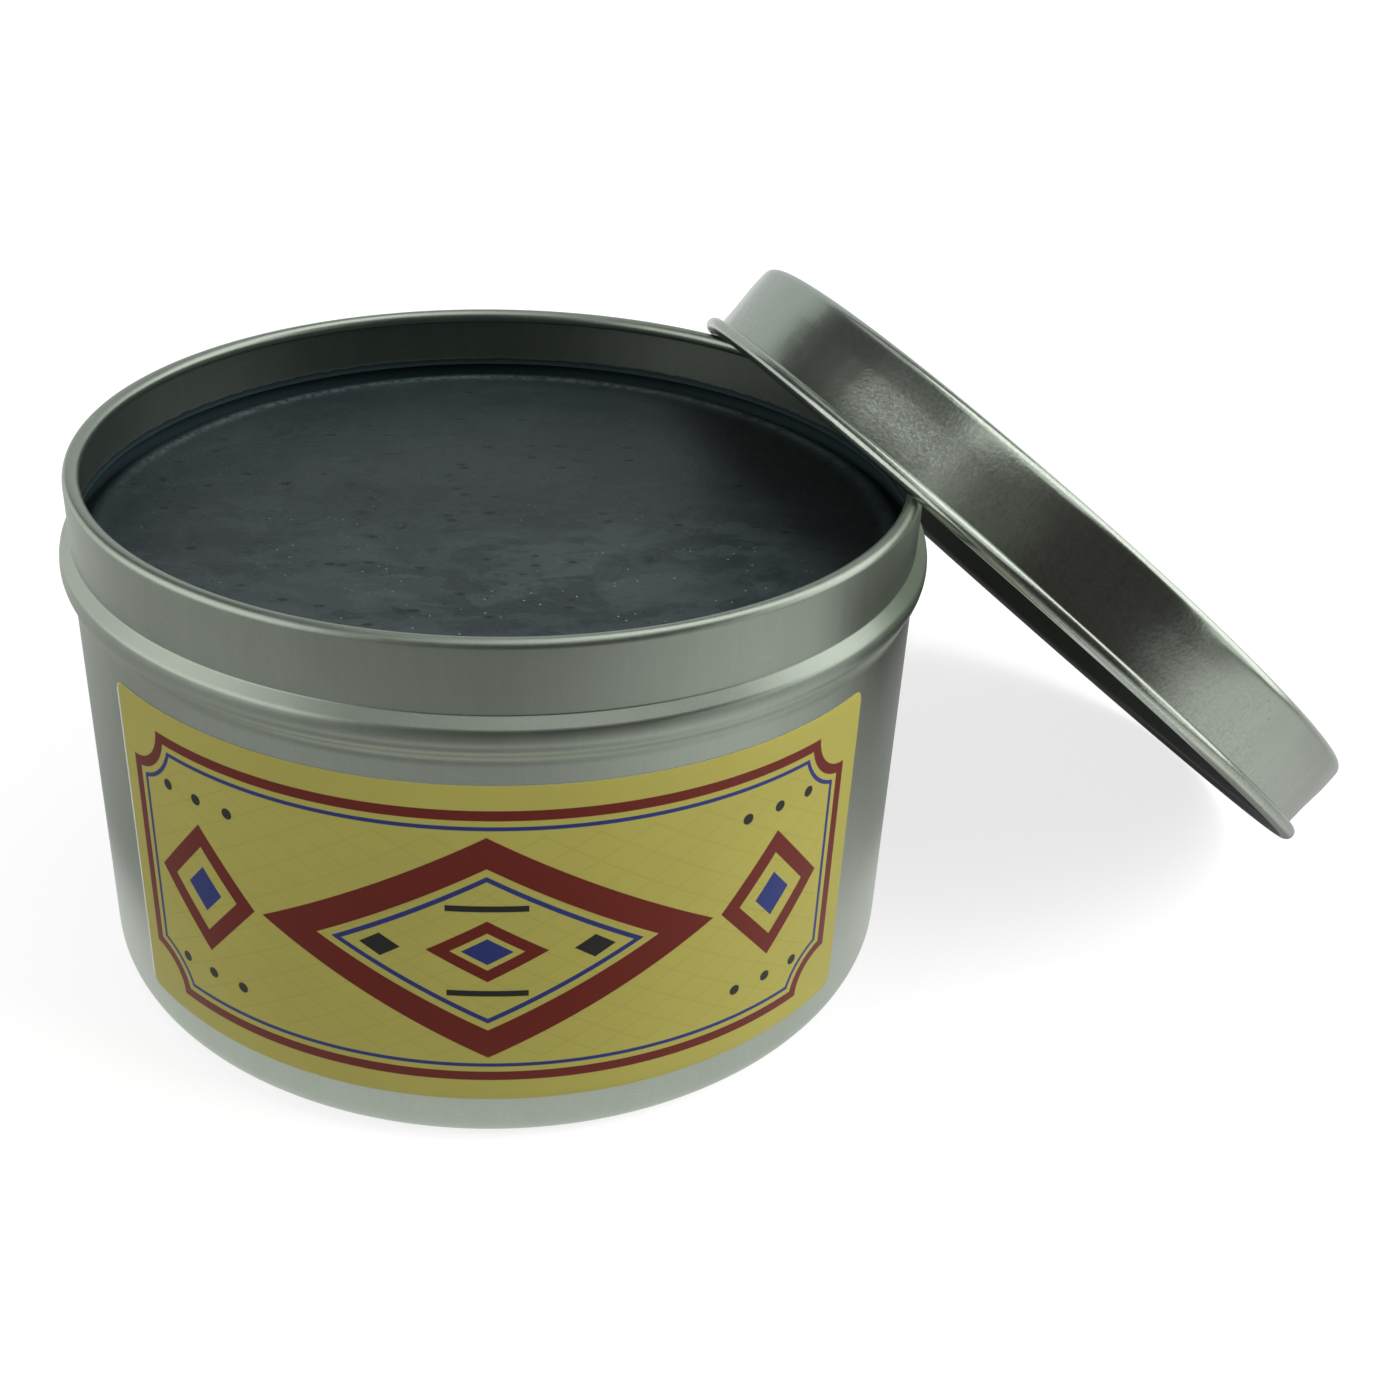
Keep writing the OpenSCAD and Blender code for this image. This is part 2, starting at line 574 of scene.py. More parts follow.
def wax_finish(name, look):
    """Dark paste wax: flat smears of bloom, dark pits, crumbs with painted glints and shade dots, a painted
    sheen toward the back, a painted lip highlight and a painted shadow by the lid.
    """
    material, f = new_finish(name)
    p = f.point()
    x, y, _ = f.axes(p)
    mottle = f.grain(p, 0.11, 5.0, 0.62, 0.5)
    flake = f.grain(f.stretch(p, (0.6, 1.0, 1.0)), 0.20, 6.0, 0.66, 0.6)
    grit = f.grain(p, 1.1, 4.0, 0.7)
    fine = f.grain(p, 2.4, 3.0, 0.6)
    across = (y + 14.0 - x * 0.42) / 10.0
    along = (x - 10.0) / 26.0
    band = 1.0 - (across * across + along * along).rise(0.1, 1.6)
    front = 1.0 - (y + 8.0).rise(-18.0, 18.0)
    haze = flake.rise(0.47, 0.57) * (band * 0.75 + front * 0.25)
    veil = mottle.rise(0.40, 0.64) * (0.35 + front * 0.65)
    smear = (flake.rise(0.505, 0.52) + mottle.rise(0.50, 0.515)) * (0.4 + front * 0.6)
    flat = f.stretch(p, (0.5, 1.0, 1.0))
    pit_pick = f.axes(f.cells(flat, 0.5, "Color"))[0]
    pit = (1.0 - f.cells(flat, 0.5).rise(0.08, 0.20)) * pit_pick.rise(0.45, 0.60)
    # Crumbs in clusters, mostly toward the front: painted glints are bright dots in the base colour, each
    # beside a painted shade dot.
    cluster = f.grain(p, 0.17, 2.0, 0.5).rise(0.47, 0.57) * (0.25 + front * 0.75)
    crumb = f.cells(p, 1.3)
    crumb_pick = f.axes(f.cells(p, 1.3, "Color"))
    painted_glint = (1.0 - crumb.rise(0.09, 0.21)) * crumb_pick[0].rise(0.72, 0.74) * cluster
    painted_shade_dot = (1.0 - crumb.rise(0.12, 0.28)) * crumb_pick[1].rise(0.66, 0.68) * cluster
    base = f.mix(((grit - 0.5) * 1.5 + 0.5).clamp(), rgba(look.colour, 0.70), rgba(look.colour, 1.30))
    base = f.mix(veil * 0.45, base, rgba(look.haze_and_sheen_colour, 0.75))
    base = f.mix(haze * 0.40, base, rgba(look.haze_and_sheen_colour, 1.2))
    base = f.mix(smear * 0.10, base, rgba(look.haze_and_sheen_colour, 1.4))
    base = f.mix(pit * 0.85, base, rgba(look.colour, 0.2))
    base = f.mix(painted_shade_dot * 0.80, base, rgba(look.colour, 0.2))
    base = f.mix(painted_glint * 0.85, base, rgba(look.haze_and_sheen_colour, 5.0))
    reach = (x * x + y * y) ** 0.5
    # A painted highlight: a paler line along the lip at the back, where the wax climbs before it turns down.
    lip = within(reach - 42.5, 0.35, 0.6) * y.rise(2.0, 24.0) * grit.rise(0.35, 0.60)
    # A painted sheen: the wax is paler toward the back.
    base = f.mix(y.rise(0.0, 32.0) * 0.36, base, rgba(look.haze_and_sheen_colour, 0.8))
    base = f.mix(lip * 0.65, base, rgba(look.haze_and_sheen_colour, 2.2))
    # A painted shadow of the lid: the wax is darker on the right by the lid, less so at its lip, and rougher
    # there.
    lid_x, lid_y = 0.956, 0.292
    painted_lid_shadow = (x * lid_x + y * lid_y).rise(24.0, 34.0) * (1.0 - reach.rise(40.5, 42.5) * 0.6)
    base = f.mix(painted_lid_shadow * 0.75, base, rgba(look.colour, 0.3))
    lump = (fine - 0.5) * 0.05 + (grit - 0.5) * 0.10 + (flake - 0.5) * 0.10 + smear * 0.006
    f.surface(
        {
            "Base Color": base,
            "Roughness": (0.44 + (fine - 0.5) * 0.20 + haze * 0.10 - painted_glint * 0.15 + painted_lid_shadow * 0.25).clamp(),
            "Specular IOR Level": 0.34,
            "Normal": f.bump(lump - pit * 0.10 - painted_shade_dot * 0.06 + painted_glint * 0.06, 0.6),
        }
    )
    return material


def label_print(name, look):
    """Printed paper: a notched frame round a row of diamonds, on a yellow ground."""
    material, f = new_finish(name)
    p = f.point(turn=(0.0, 0.0, look.turn))
    x, y, z = f.axes(p)
    along = x.math("ARCTAN2", x, -y) * (wall_radius() / MM)
    height = (LABEL_HIGH.z - LABEL_LOW.z) / MM
    u = abs(along)
    v = abs(z - (LABEL_LOW.z / MM + height / 2))
    half_w = look.width / MM / 2
    frame_inset, notch_r = 2.6, 4.4
    frame_w = half_w - frame_inset
    frame_h = height / 2 - frame_inset
    notch = notch_r - ((u - frame_w) ** 2.0 + (v - frame_h) ** 2.0) ** 0.5
    edge = (u - frame_w).most(v - frame_h).most(notch)
    slope, pitch = 1.6, 2.6
    rising = u + v * slope
    falling = u - v * slope
    lattice_gap = rising.math("PINGPONG", rising, pitch).least(falling.math("PINGPONG", falling, pitch))
    lattice = within(lattice_gap, 0.16, 0.12) * inside(edge + 2.8)
    great = diamond(u, v, 22.5, 13.0)
    heart = diamond(u, v, 5.8, 3.6)
    pip = diamond(abs(u - 10.2), v, 2.0, 1.35)
    wing_at = 29.8
    wing = abs(u - wing_at)
    side = diamond(wing, v, 6.4, 7.6)
    red = within(edge + 0.55, 0.55)
    red = red.most(within(great + 1.5, 1.5))
    red = red.most(within(heart + 0.6, 0.6))
    red = red.most(within(side + 0.85, 0.85))
    blue = within(edge + 1.95, 0.22)
    blue = blue.most(within(great + 4.0, 0.26))
    blue = blue.most(inside(heart + 1.75))
    blue = blue.most(inside(side + 3.2))
    beads_up = abs(v - 10.4)
    beads_gap = (u - wing_at).math("PINGPONG", u - wing_at, 2.0)
    beads = (beads_gap**2.0 + beads_up**2.0) ** 0.5 - 0.6
    bars = (u - 3.9).most(abs(v - 5.0) - 0.35)
    ink = inside(pip).most(inside(bars))
    ink = ink.most(inside(beads) * inside(wing - 5.0))
    fibre = f.grain(p, 3.2, 4.0, 0.65)
    blotch = f.grain(p, 0.09, 3.0, 0.5)
    screen = f.grain(p, 7.5, 2.0, 0.5)
    ground = f.mix(((blotch - 0.5) * 0.9 + 0.5).clamp(), rgba(look.ground, 0.93), rgba(look.ground, 1.08))
    ground = f.mix(lattice * 0.30, ground, rgba(look.ground, 0.72))
    cover = 1.0 + (screen - 0.5) * 0.12
    printed = f.mix((red * cover).clamp(), ground, rgba(look.red))
    printed = f.mix((blue * cover).clamp(), printed, rgba(look.blue))
    printed = f.mix((ink * cover).clamp(), printed, rgba(look.ink))
    bare = inside(along + (half_w - look.margin / MM), 0.12)
    printed = f.mix(bare, printed, (0.62, 0.64, 0.60, 1.0))
    inked = red.most(blue).most(ink)
    relief = (fibre - 0.5) * 0.012 + inked * 0.004 + (blotch - 0.5) * 0.10
    f.surface(
        {
            "Base Color": printed,
            "Roughness": (0.50 + (fibre - 0.5) * 0.16 - inked * 0.08).clamp(),
            "Specular IOR Level": 0.25,
            "Normal": f.bump(relief, 0.6),
        }
    )
    return material


def paper_edge(name):
    """Bare cut edge of the label's paper."""
    material, f = new_finish(name)
    fibre = f.grain(f.point(), 5.0, 3.0, 0.6)
    tone = f.mix(fibre, (0.50, 0.51, 0.46, 1.0), (0.70, 0.71, 0.66, 1.0))
    f.surface({"Base Color": tone, "Roughness": 0.75 + (fibre - 0.5) * 0.2})
    return material


# Mesh making


class Section:
    """Points of a section to be turned round an axis, as radius and height."""

    def __init__(self):
        self.points = []
        self.inner_from = None

    def to(self, r, z):
        """Adds a point, unless the section is there already."""
        if not self.points or math.dist(self.points[-1], (r, z)) > 0.0001 * MM:
            self.points.append((r, z))

    def turn_inside(self):
        """From here on the section is the inside, which takes the second material."""
        self.inner_from = len(self.points)

    def arc(self, r, z, radius, start, end):
        """Adds an arc round a centre, by angles from straight out."""
        steps = max(2, math.ceil(abs(end - start) / math.radians(9.0)))
        for k in range(steps + 1):
            a = start + (end - start) * k / steps
            self.to(r + radius * math.cos(a), z + radius * math.sin(a))

    def turned(self, around=216):
        """The section turned round the axis. Ends on the axis close the solid."""
        bm = bmesh.new()
        rows = []
        for r, z in self.points:
            turns = [2.0 * math.pi * k / around for k in range(around)]
            on_axis = r < 0.01 * MM
            spots = [(0.0, 0.0, z)] if on_axis else [(r * math.cos(a), r * math.sin(a), z) for a in turns]
            rows.append([bm.verts.new(spot) for spot in spots])
        inner_from = self.inner_from or len(rows)
        for i in range(1, len(rows)):
            for face in bridge(bm, rows[i - 1], rows[i]):
                face.material_index = 1 if i >= inner_from else 0
        bmesh.ops.recalc_face_normals(bm, faces=bm.faces)
        return bm


def bridge(bm, first, second, closed=True):
    """Faces between two rows of vertices. A row of one vertex is a pole."""
    count = max(len(first), len(second))
    made = []
    for i in range(count if closed else count - 1):
        j = (i + 1) % count
        near = [first[i % len(first)], first[j % len(first)]]
        far = [second[j % len(second)], second[i % len(second)]]
        made.append(bm.faces.new(list(dict.fromkeys(near + far))))
    return made


def object_from(name, bm, *materials):
    """Turns a bmesh into an object of the scene, smooth but for its sharp edges."""
    mesh = bpy.data.meshes.new(name)
    bm.normal_update()
    bm.to_mesh(mesh)
    bm.free()
    for material in materials:
        mesh.materials.append(material)
    mesh.shade_smooth()
    mesh.set_sharp_from_angle(angle=math.radians(40.0))
    piece = bpy.data.objects.new(name, mesh)
    bpy.context.scene.collection.objects.link(piece)
    return piece


def wall_radius():
    """Outer radius of the tin's straight wall."""
    return TIN_HIGH.x - bpy.context.scene.wax_tin_body.bead_out


def tin_section(look):
    """Section of the shell: base, wall, bead, neck and curled rim, and back down the inside."""
    wall = wall_radius()
    neck = wall - look.neck_set
    top = TIN_HIGH.z
    sheet = look.sheet
    right_angle = math.pi / 2.0
    base_r = wall - look.base_corner
    curl = look.rim_curl / 2.0
    bead_r = wall + look.bead_out - look.bead
    bead_z = top - look.neck_height - math.sqrt(look.bead**2 - (neck - bead_r) ** 2)
    low_r = wall + look.bead_hollow
    low_drop = math.sqrt((look.bead + look.bead_hollow) ** 2 - (low_r - bead_r) ** 2)
    low_z = bead_z - low_drop
    low_end = math.atan2(low_drop, bead_r - low_r)
    ledge_out, ledge_down = math.sin(look.shoulder), math.cos(look.shoulder)
    side_end = math.radians(18.0)
    side_out, side_down = 1.0 - math.cos(side_end), math.sin(side_end)
    # The ledge, the tight round and the slack side go from the crease to the bead's widest place.
    out = look.neck_set + look.bead_out - look.bead_round * (math.cos(side_end) - ledge_down)
    down = top - look.neck_height - bead_z - look.bead_round * (ledge_out - side_down)
    side = (ledge_out * down - ledge_down * out) / (ledge_out * side_down - side_out * ledge_down)
    side_r = wall + look.bead_out - side
    round_r = side_r + (side - look.bead_round) * math.cos(side_end)
    round_z = bead_z + (side - look.bead_round) * side_down
    crease_z = top - look.neck_height + look.crease * (1.0 - ledge_down) / ledge_out
    groove = look.bead - sheet
    groove_top = math.acos((neck - sheet - bead_r) / groove)
    groove_foot = math.acos((wall - sheet - bead_r) / groove)
    curl_end = math.radians(250.0)
    section = Section()
    section.to(0.0, 0.0)
    section.to(base_r * 0.6, 0.0)
    section.arc(base_r, look.base_corner, look.base_corner, -right_angle, 0.0)
    section.to(wall, low_z * 0.5)
    section.arc(low_r, low_z, look.bead_hollow, math.pi, low_end)
    section.arc(bead_r, bead_z, look.bead, low_end - math.pi, 0.0)
    section.arc(side_r, bead_z, side, 0.0, side_end)
    section.arc(round_r, round_z, look.bead_round, side_end, look.shoulder)
    section.arc(neck + look.crease, crease_z, look.crease, look.shoulder + math.pi, math.pi)
    section.arc(neck - curl, top - curl, curl, 0.0, curl_end)
    section.arc(neck - curl, top - curl, curl - sheet, curl_end, 0.0)
    section.turn_inside()
    section.arc(bead_r, bead_z, groove, groove_top, -groove_foot)
    section.to(wall - sheet, low_z * 0.5)
    section.arc(base_r, look.base_corner, look.base_corner - sheet, 0.0, -right_angle)
    section.to(base_r * 0.6, sheet)
    section.to(0.0, sheet)
    return section


def lid_section(look, sheet):
    """Section of the lid with its open edge at height 0: outside from the top, round the curl, and inside."""
    outside = look.inside + sheet
    curl = look.curl / 2.0
    top_r = outside - look.corner
    top_z = look.height - look.corner
    curl_end = 2.0 * math.pi + math.radians(110.0)
    inside_start = math.pi * 1.42
    swell_h = 2.6 * MM
    swell_steps = 6
    lean = math.atan2(2.0 * look.swell, swell_h)
    section = Section()
    section.to(0.0, look.height)
    section.to(top_r * 0.6, look.height)
    section.arc(top_r, top_z, look.corner, math.pi / 2.0, lean)
    start_r, start_z = section.points[-1]
    for k in range(1, swell_steps + 1):
        part = k / swell_steps
        section.to(start_r + look.swell * (2.0 * part - part * part), start_z - swell_h * part)
    section.to(outside, curl + (top_z - curl) * 0.4)
    section.arc(look.inside + curl, curl, curl - sheet, math.pi, curl_end)
    section.arc(look.inside + curl, curl, curl, curl_end, inside_start)
    # From here the curl's underside and the inside take the second material, which paints the shade under the
    # curl and on the inner wall.
    section.turn_inside()
    section.arc(look.inside + curl, curl, curl, inside_start, math.pi)
    section.to(look.inside, curl + (top_z - curl) * 0.5)
    section.arc(top_r, top_z, look.corner - sheet, 0.0, math.pi / 2.0)
    section.to(top_r * 0.6, look.height - sheet)
    section.to(0.0, look.height - sheet)
    return section


def lid_place(look, sheet):
    """Where the lid leans, from the box of its solid: the box touches the round of the lid's top corner."""
    reach = look.inside + sheet - look.corner
    tilt, turn = look.tilt, look.turn
    x = LID_HIGH.x - look.corner - reach * math.hypot(math.cos(tilt) * math.cos(turn), math.sin(turn))
    y = LID_HIGH.y - look.corner - reach * math.hypot(math.cos(tilt) * math.sin(turn), math.cos(turn))
    z = LID_HIGH.z - look.corner - reach * math.sin(tilt)
    lean = Matrix.Rotation(turn, 4, "Z") @ Matrix.Rotation(tilt, 4, "Y")
    return Matrix.Translation((x, y, z)) @ lean @ Matrix.Translation((0.0, 0.0, look.corner - look.height))


def smooth_step(value):
    t = min(max(value, 0.0), 1.0)
    return t * t * (3.0 - 2.0 * t)


def wax_pits(radius, count):
    """Places, sizes and depths of the air pits, the same every time."""
    rng = random.Random(11)
    pits = []
    for _ in range(count):
        r = radius * 0.93 * math.sqrt(rng.random())
        a = rng.random() * 2.0 * math.pi
        size = rng.uniform(0.5, 1.3) * MM
        pits.append((r * math.cos(a), r * math.sin(a), size, size * rng.uniform(0.10, 0.26)))
    return pits


def wax_height(x, y, radius, look, pits):
    """Height of the wax surface above its level, at a place on it."""
    r = math.hypot(x, y)
    calm = noise.noise(Vector((x * 38.0, y * 38.0, 0.3))) * 0.16 * MM
    ripple = noise.noise(Vector((x * 120.0, y * 150.0, 4.1))) * 0.07 * MM
    wander = noise.noise(Vector((x * 60.0, y * 60.0, 9.7))) * 0.35 * MM
    inward = radius - r + wander
    turned = 1.0 - smooth_step(inward / look.edge_width)
    lip = smooth_step((look.edge_width + look.lip_width - inward) / look.lip_width) * look.lip_height
    sink = 0.25 * MM
    height = (calm + ripple) * (1.0 - turned) + lip - look.edge_drop * turned**1.5 - sink
    for px, py, size, depth in pits:
        gap = math.hypot(x - px, y - py) / size
        if gap < 1.0:
            height -= depth * (1.0 - gap * gap) ** 2
    return height


def wax_mesh(look, body):
    """The wax as one closed solid: the poured surface, its turned-down edge in the groove, the cast sides."""
    clear = 0.02 * MM
    groove_gap = 0.15 * MM
    groove_depth = 2.9 * MM
    cast_r = wall_radius() - body.sheet - clear
    edge_r = WAX_HIGH.x - groove_gap
    pits = wax_pits(cast_r, look.pits)
    around = 220
    rings = 78
    edge_rings = 12
    radii = [cast_r * (i / rings) for i in range(2, rings - 4)]
    radii += [radii[-1] + (edge_r - radii[-1]) * k / edge_rings for k in range(1, edge_rings + 1)]
    turns = [2.0 * math.pi * k / around for k in range(around)]
    bm = bmesh.new()
    rows = []
    for r in radii:
        row = []
        for a in turns:
            x, y = r * math.cos(a), r * math.sin(a)
            row.append(bm.verts.new((x, y, WAX_HIGH.z + wax_height(x, y, edge_r, look, pits))))
        rows.append(row)
    side = Section()
    side.to(cast_r, WAX_HIGH.z - groove_depth)
    corner = body.base_corner - body.sheet - clear
    side.arc(cast_r - corner, WAX_LOW.z + corner, corner, 0.0, -math.pi / 2.0)
    for r, z in side.points:
        rows.append([bm.verts.new((r * math.cos(a), r * math.sin(a), z)) for a in turns])
    middle = WAX_HIGH.z + wax_height(0.0, 0.0, edge_r, look, pits)
    rows.insert(0, [bm.verts.new((0.0, 0.0, middle))])
    rows.append([bm.verts.new((0.0, 0.0, WAX_LOW.z))])
    for first, second in zip(rows[:-1], rows[1:]):
        bridge(bm, first, second)
    bmesh.ops.recalc_face_normals(bm, faces=bm.faces)
    return bm


def label_mesh(look):
    """The label as a thin curved sheet with rounded corners. Its cut edge takes the second material."""
    low, high = LABEL_LOW.z, LABEL_HIGH.z
    wall = wall_radius()
    half = look.width / 2.0
    columns = 132
    rows = 72
    pressed = 0.04 * MM
    bm = bmesh.new()
    sheets = []
    for lift in (0.01 * MM, look.thickness):
        sheet = []
        for i in range(columns + 1):
            even = 2.0 * i / columns - 1.0
            u = half * (0.45 * even - 0.55 * math.cos(math.pi * i / columns))
            into = max(look.corner - (half - abs(u)), 0.0)
            cut = look.corner - math.sqrt(max(look.corner**2 - into**2, 0.0))
            angle = look.turn + u / wall
            column = []
            for k in range(rows + 1):
                z = low + cut + (high - low - 2.0 * cut) * k / rows
                at_border = i in (0, columns) or k in (0, rows)
                r = wall + (min(lift, pressed) if at_border else lift)
                column.append(bm.verts.new((r * math.sin(angle), -r * math.cos(angle), z)))
            sheet.append(column)
        for first, second in zip(sheet[:-1], sheet[1:]):
            bridge(bm, first, second, closed=False)
        sheets.append(sheet)
    rings = []
    for sheet in sheets:
        top = [column[-1] for column in sheet[1:-1]]
        foot = [column[0] for column in sheet[1:-1]]
        rings.append(sheet[0] + top + sheet[-1][::-1] + foot[::-1])
    for face in bridge(bm, *rings):
        face.material_index = 1
    bmesh.ops.recalc_face_normals(bm, faces=bm.faces)
    return bm


def join_frame(piece, body, node):
    """Makes a piece ride on a body in place of its CAD node."""
    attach(piece, body)
    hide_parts(node)


# Pieces


class WAXTIN_OT_tin_body(bpy.types.Operator):
    """Draws the shell with its bead, neck and curled rim, in satin tinplate"""

    bl_idname = "waxtin.tin_body"
    bl_label = "Tin Body"

    def execute(self, context):
        look = context.scene.wax_tin_body
        # The inside is the plate darkened to 0.75 as a painted shade, with the wax smeared up it to the
        # crease.
        wax_and_shade_film = tuple(context.scene.wax_tin_fill.colour), (TIN_HIGH.z - look.neck_height) / MM
        finish = tinplate("satin tinplate", look, Matrix())
        inside = tinplate("waxed tinplate inside with painted shade", look, Matrix(), shade=0.75, wax_and_shade_film=wax_and_shade_film)
        piece = object_from("drawn_tin", tin_section(look).turned(), finish, inside)
        join_frame(piece, "tin", "tin_body")
        return {"FINISHED"}


class WAXTIN_OT_lid(bpy.types.Operator):
    """Draws the slip lid with its curled edge and leans it on the rim, in brighter tinplate"""

    bl_idname = "waxtin.lid"
    bl_label = "Lid"

    def execute(self, context):
        look = context.scene.wax_tin_lid
        sheet = context.scene.wax_tin_body.sheet
        place = lid_place(look, sheet)
        finish = tinplate("bright tinplate", look, place, speckle=0.5, scuff=0.25, wear=0.75)
        bm = lid_section(look, sheet).turned()
        bm.transform(place)
        # The lid's inside: a painted shade band darkens its lower wall and the curl's underside, and above it
        # the panel is the plate brightened 1.5 times as painted light.
        wax_and_shade_film = tuple(part * 0.045 for part in look.colour), (look.height - look.corner) / MM
        inside = tinplate("lid inside with painted shade and light", look, place, shade=1.5, wax_and_shade_film=wax_and_shade_film)
        piece = object_from("slip_lid", bm, finish, inside)
        join_frame(piece, "lid", "lid")
        return {"FINISHED"}


class WAXTIN_OT_wax(bpy.types.Operator):
    """Pours the wax, with its turned-down edge, pits and bloom"""

    bl_idname = "waxtin.wax"
    bl_label = "Wax"

    def execute(self, context):
        look = context.scene.wax_tin_fill
        finish = wax_finish("dark paste wax", look)
        piece = object_from("wax_fill", wax_mesh(look, context.scene.wax_tin_body), finish)
        join_frame(piece, "tin", "wax")
        return {"FINISHED"}


class WAXTIN_OT_label(bpy.types.Operator):
    """Glues the printed label to the wall"""

    bl_idname = "waxtin.label"
    bl_label = "Label"

    def execute(self, context):
        look = context.scene.wax_tin_label
        finishes = label_print("diamond label print", look), paper_edge("cut paper edge")
        piece = object_from("paper_label", label_mesh(look), *finishes)
        join_frame(piece, "tin", "label")
        return {"FINISHED"}


# Stage


def seen_rays(f):
    """1 for the rays that see the stage as the camera does: camera, glossy and transmission rays."""
    path = f.add("ShaderNodeLightPath", {}, {}, "Is Camera Ray")
    outputs = path.socket.node.outputs
    glossy = Wire(f, outputs["Is Glossy Ray"])
    through = Wire(f, outputs["Is Transmission Ray"])
    return (path + glossy + through).clamp()


def make_world(look):
    """White where it is seen, an even grey where it lights."""
    world = bpy.data.worlds.new("white studio")
    world.use_nodes = True
    f = Finish(world.node_tree)
    ambient = (look.ambient, look.ambient, look.ambient, 1.0)
    colour = f.mix(seen_rays(f), ambient, WHITE)
    shader = f.add("ShaderNodeBackground", {}, {"Color": colour, "Strength": 1.0})
    f.add("ShaderNodeOutputWorld", {}, {"Surface": shader})
    bpy.context.scene.world = world


def make_floor():
    """A pale floor that reads as white and keeps the object's shadow."""
    material, f = new_finish("pale floor")
    plain = f.add("ShaderNodeBsdfDiffuse", {}, {"Color": (0.62, 0.62, 0.62, 1.0)})
    faint = f.add("ShaderNodeBsdfDiffuse", {}, {"Color": (0.38, 0.38, 0.38, 1.0)})
    x, y, _ = f.axes(f.point())
    far = ((x * x + y * y) ** 0.5).rise(250.0, 700.0)
    shine = f.mix(far, (0.73, 0.73, 0.73, 1.0), WHITE)
    glow = f.add("ShaderNodeEmission", {}, {"Color": shine, "Strength": 1.0})
    both = f.add("ShaderNodeAddShader", {}, {0: faint, 1: glow})
    seen = f.add("ShaderNodeMixShader", {}, {0: seen_rays(f), 1: plain, 2: both})
    f.add("ShaderNodeOutputMaterial", {}, {"Surface": seen})
    bm = bmesh.new()
    bmesh.ops.create_circle(bm, cap_ends=True, segments=96, radius=6.0)
    bmesh.ops.translate(bm, verts=bm.verts, vec=(0.0, 0.0, -0.1 * MM))
    object_from("floor", bm, material)


def only_mirrored(card):
    """Makes a card of the stage that metal mirrors and that nothing else sees."""
    card.visible_camera = False
    card.visible_diffuse = False
    card.visible_shadow = False
    card.visible_transmission = False


def make_card(name, corners, colour):
    """A plain studio card with these corners."""
    material, f = new_finish(name)
    shader = f.add("ShaderNodeEmission", {}, {"Color": rgba(colour), "Strength": 1.0})
    f.add("ShaderNodeOutputMaterial", {}, {"Surface": shader})
    bm = bmesh.new()
    bm.faces.new([bm.verts.new(corner) for corner in corners])
    only_mirrored(object_from(name, bm, material))


def sky(turn, rise):
    """A place 0.6 m off: turned from straight in front toward the right, and raised, in degrees."""
    turn, rise = math.radians(turn), math.radians(rise)
    level = math.cos(rise)
    ahead = Vector((math.sin(turn) * level, -math.cos(turn) * level, math.sin(rise)))
    return Vector((0.03, 0.0, 0.05)) + ahead * 0.6


def high_place(x, y):
    """A place level with the softbox overhead, in metres."""
    return (x, y, 0.76)


def back_place(x, z):
    """A place on an upright card behind the tin, in metres."""
    return (x, 0.60, z)


def ceiling_place(x, y):
    """A place on the ceiling, above the other cards, in metres."""
    return (x, y, 0.80)


# Each card's name, the kind of place that its corners are, its corners and its colour
CARDS = (
    (
        "front card",
        sky,
        ((-12, -4), (32, -4), (50, 10), (70, 22), (70, 40), (40, 49), (8, 44), (-12, 41)),
        (0.052, 0.048, 0.046),
    ),
    ("front left card", sky, ((-42, -4), (-12, -4), (-12, 41), (-42, 34)), (0.12, 0.12, 0.11)),
    ("high left card", sky, ((-48, 44), (-48, 58), (2, 66), (2, 50)), (0.85, 0.86, 0.86)),
    (
        "high front card",
        high_place,
        (
            (-0.21, -0.50),
            (0.10, -0.62),
            (0.40, -0.52),
            (0.60, -0.30),
            (0.60, -0.16),
            (0.08, -0.16),
            (0.08, 0.0),
            (-0.12, 0.0),
        ),
        (0.95, 0.97, 0.96),
    ),
    (
        "back card",
        back_place,
        ((-0.55, 0.0), (0.40, 0.0), (0.40, 0.56), (-0.55, 0.56)),
        (0.62, 0.65, 0.65),
    ),
    (
        "high back card",
        high_place,
        ((-0.22, 0.10), (0.08, 0.10), (0.08, 0.60), (-0.22, 0.60)),
        (0.55, 0.57, 0.58),
    ),
    ("back left card", sky, ((-138, 14), (-138, 40), (-100, 56), (-96, 30)), (0.07, 0.07, 0.07)),
    ("left softbox", sky, ((-104, 2), (-104, 39), (-46, 39), (-46, 2)), (1.4, 1.4, 1.4)),
    (
        "right softbox",
        sky,
        ((80, -4), (79, 38), (66, 56), (110, 56), (122, 46), (122, -4)),
        (1.85, 1.85, 1.85),
    ),
    (
        "ceiling card",
        ceiling_place,
        ((-1.0, -1.0), (1.0, -1.0), (1.0, 1.0), (-1.0, 1.0)),
        (0.14, 0.14, 0.14),
    ),
    (
        "overhead softbox",
        high_place,
        ((0.08, -0.16), (0.60, -0.16), (0.60, 0.32), (0.08, 0.32)),
        (1.9, 1.9, 1.9),
    ),
)


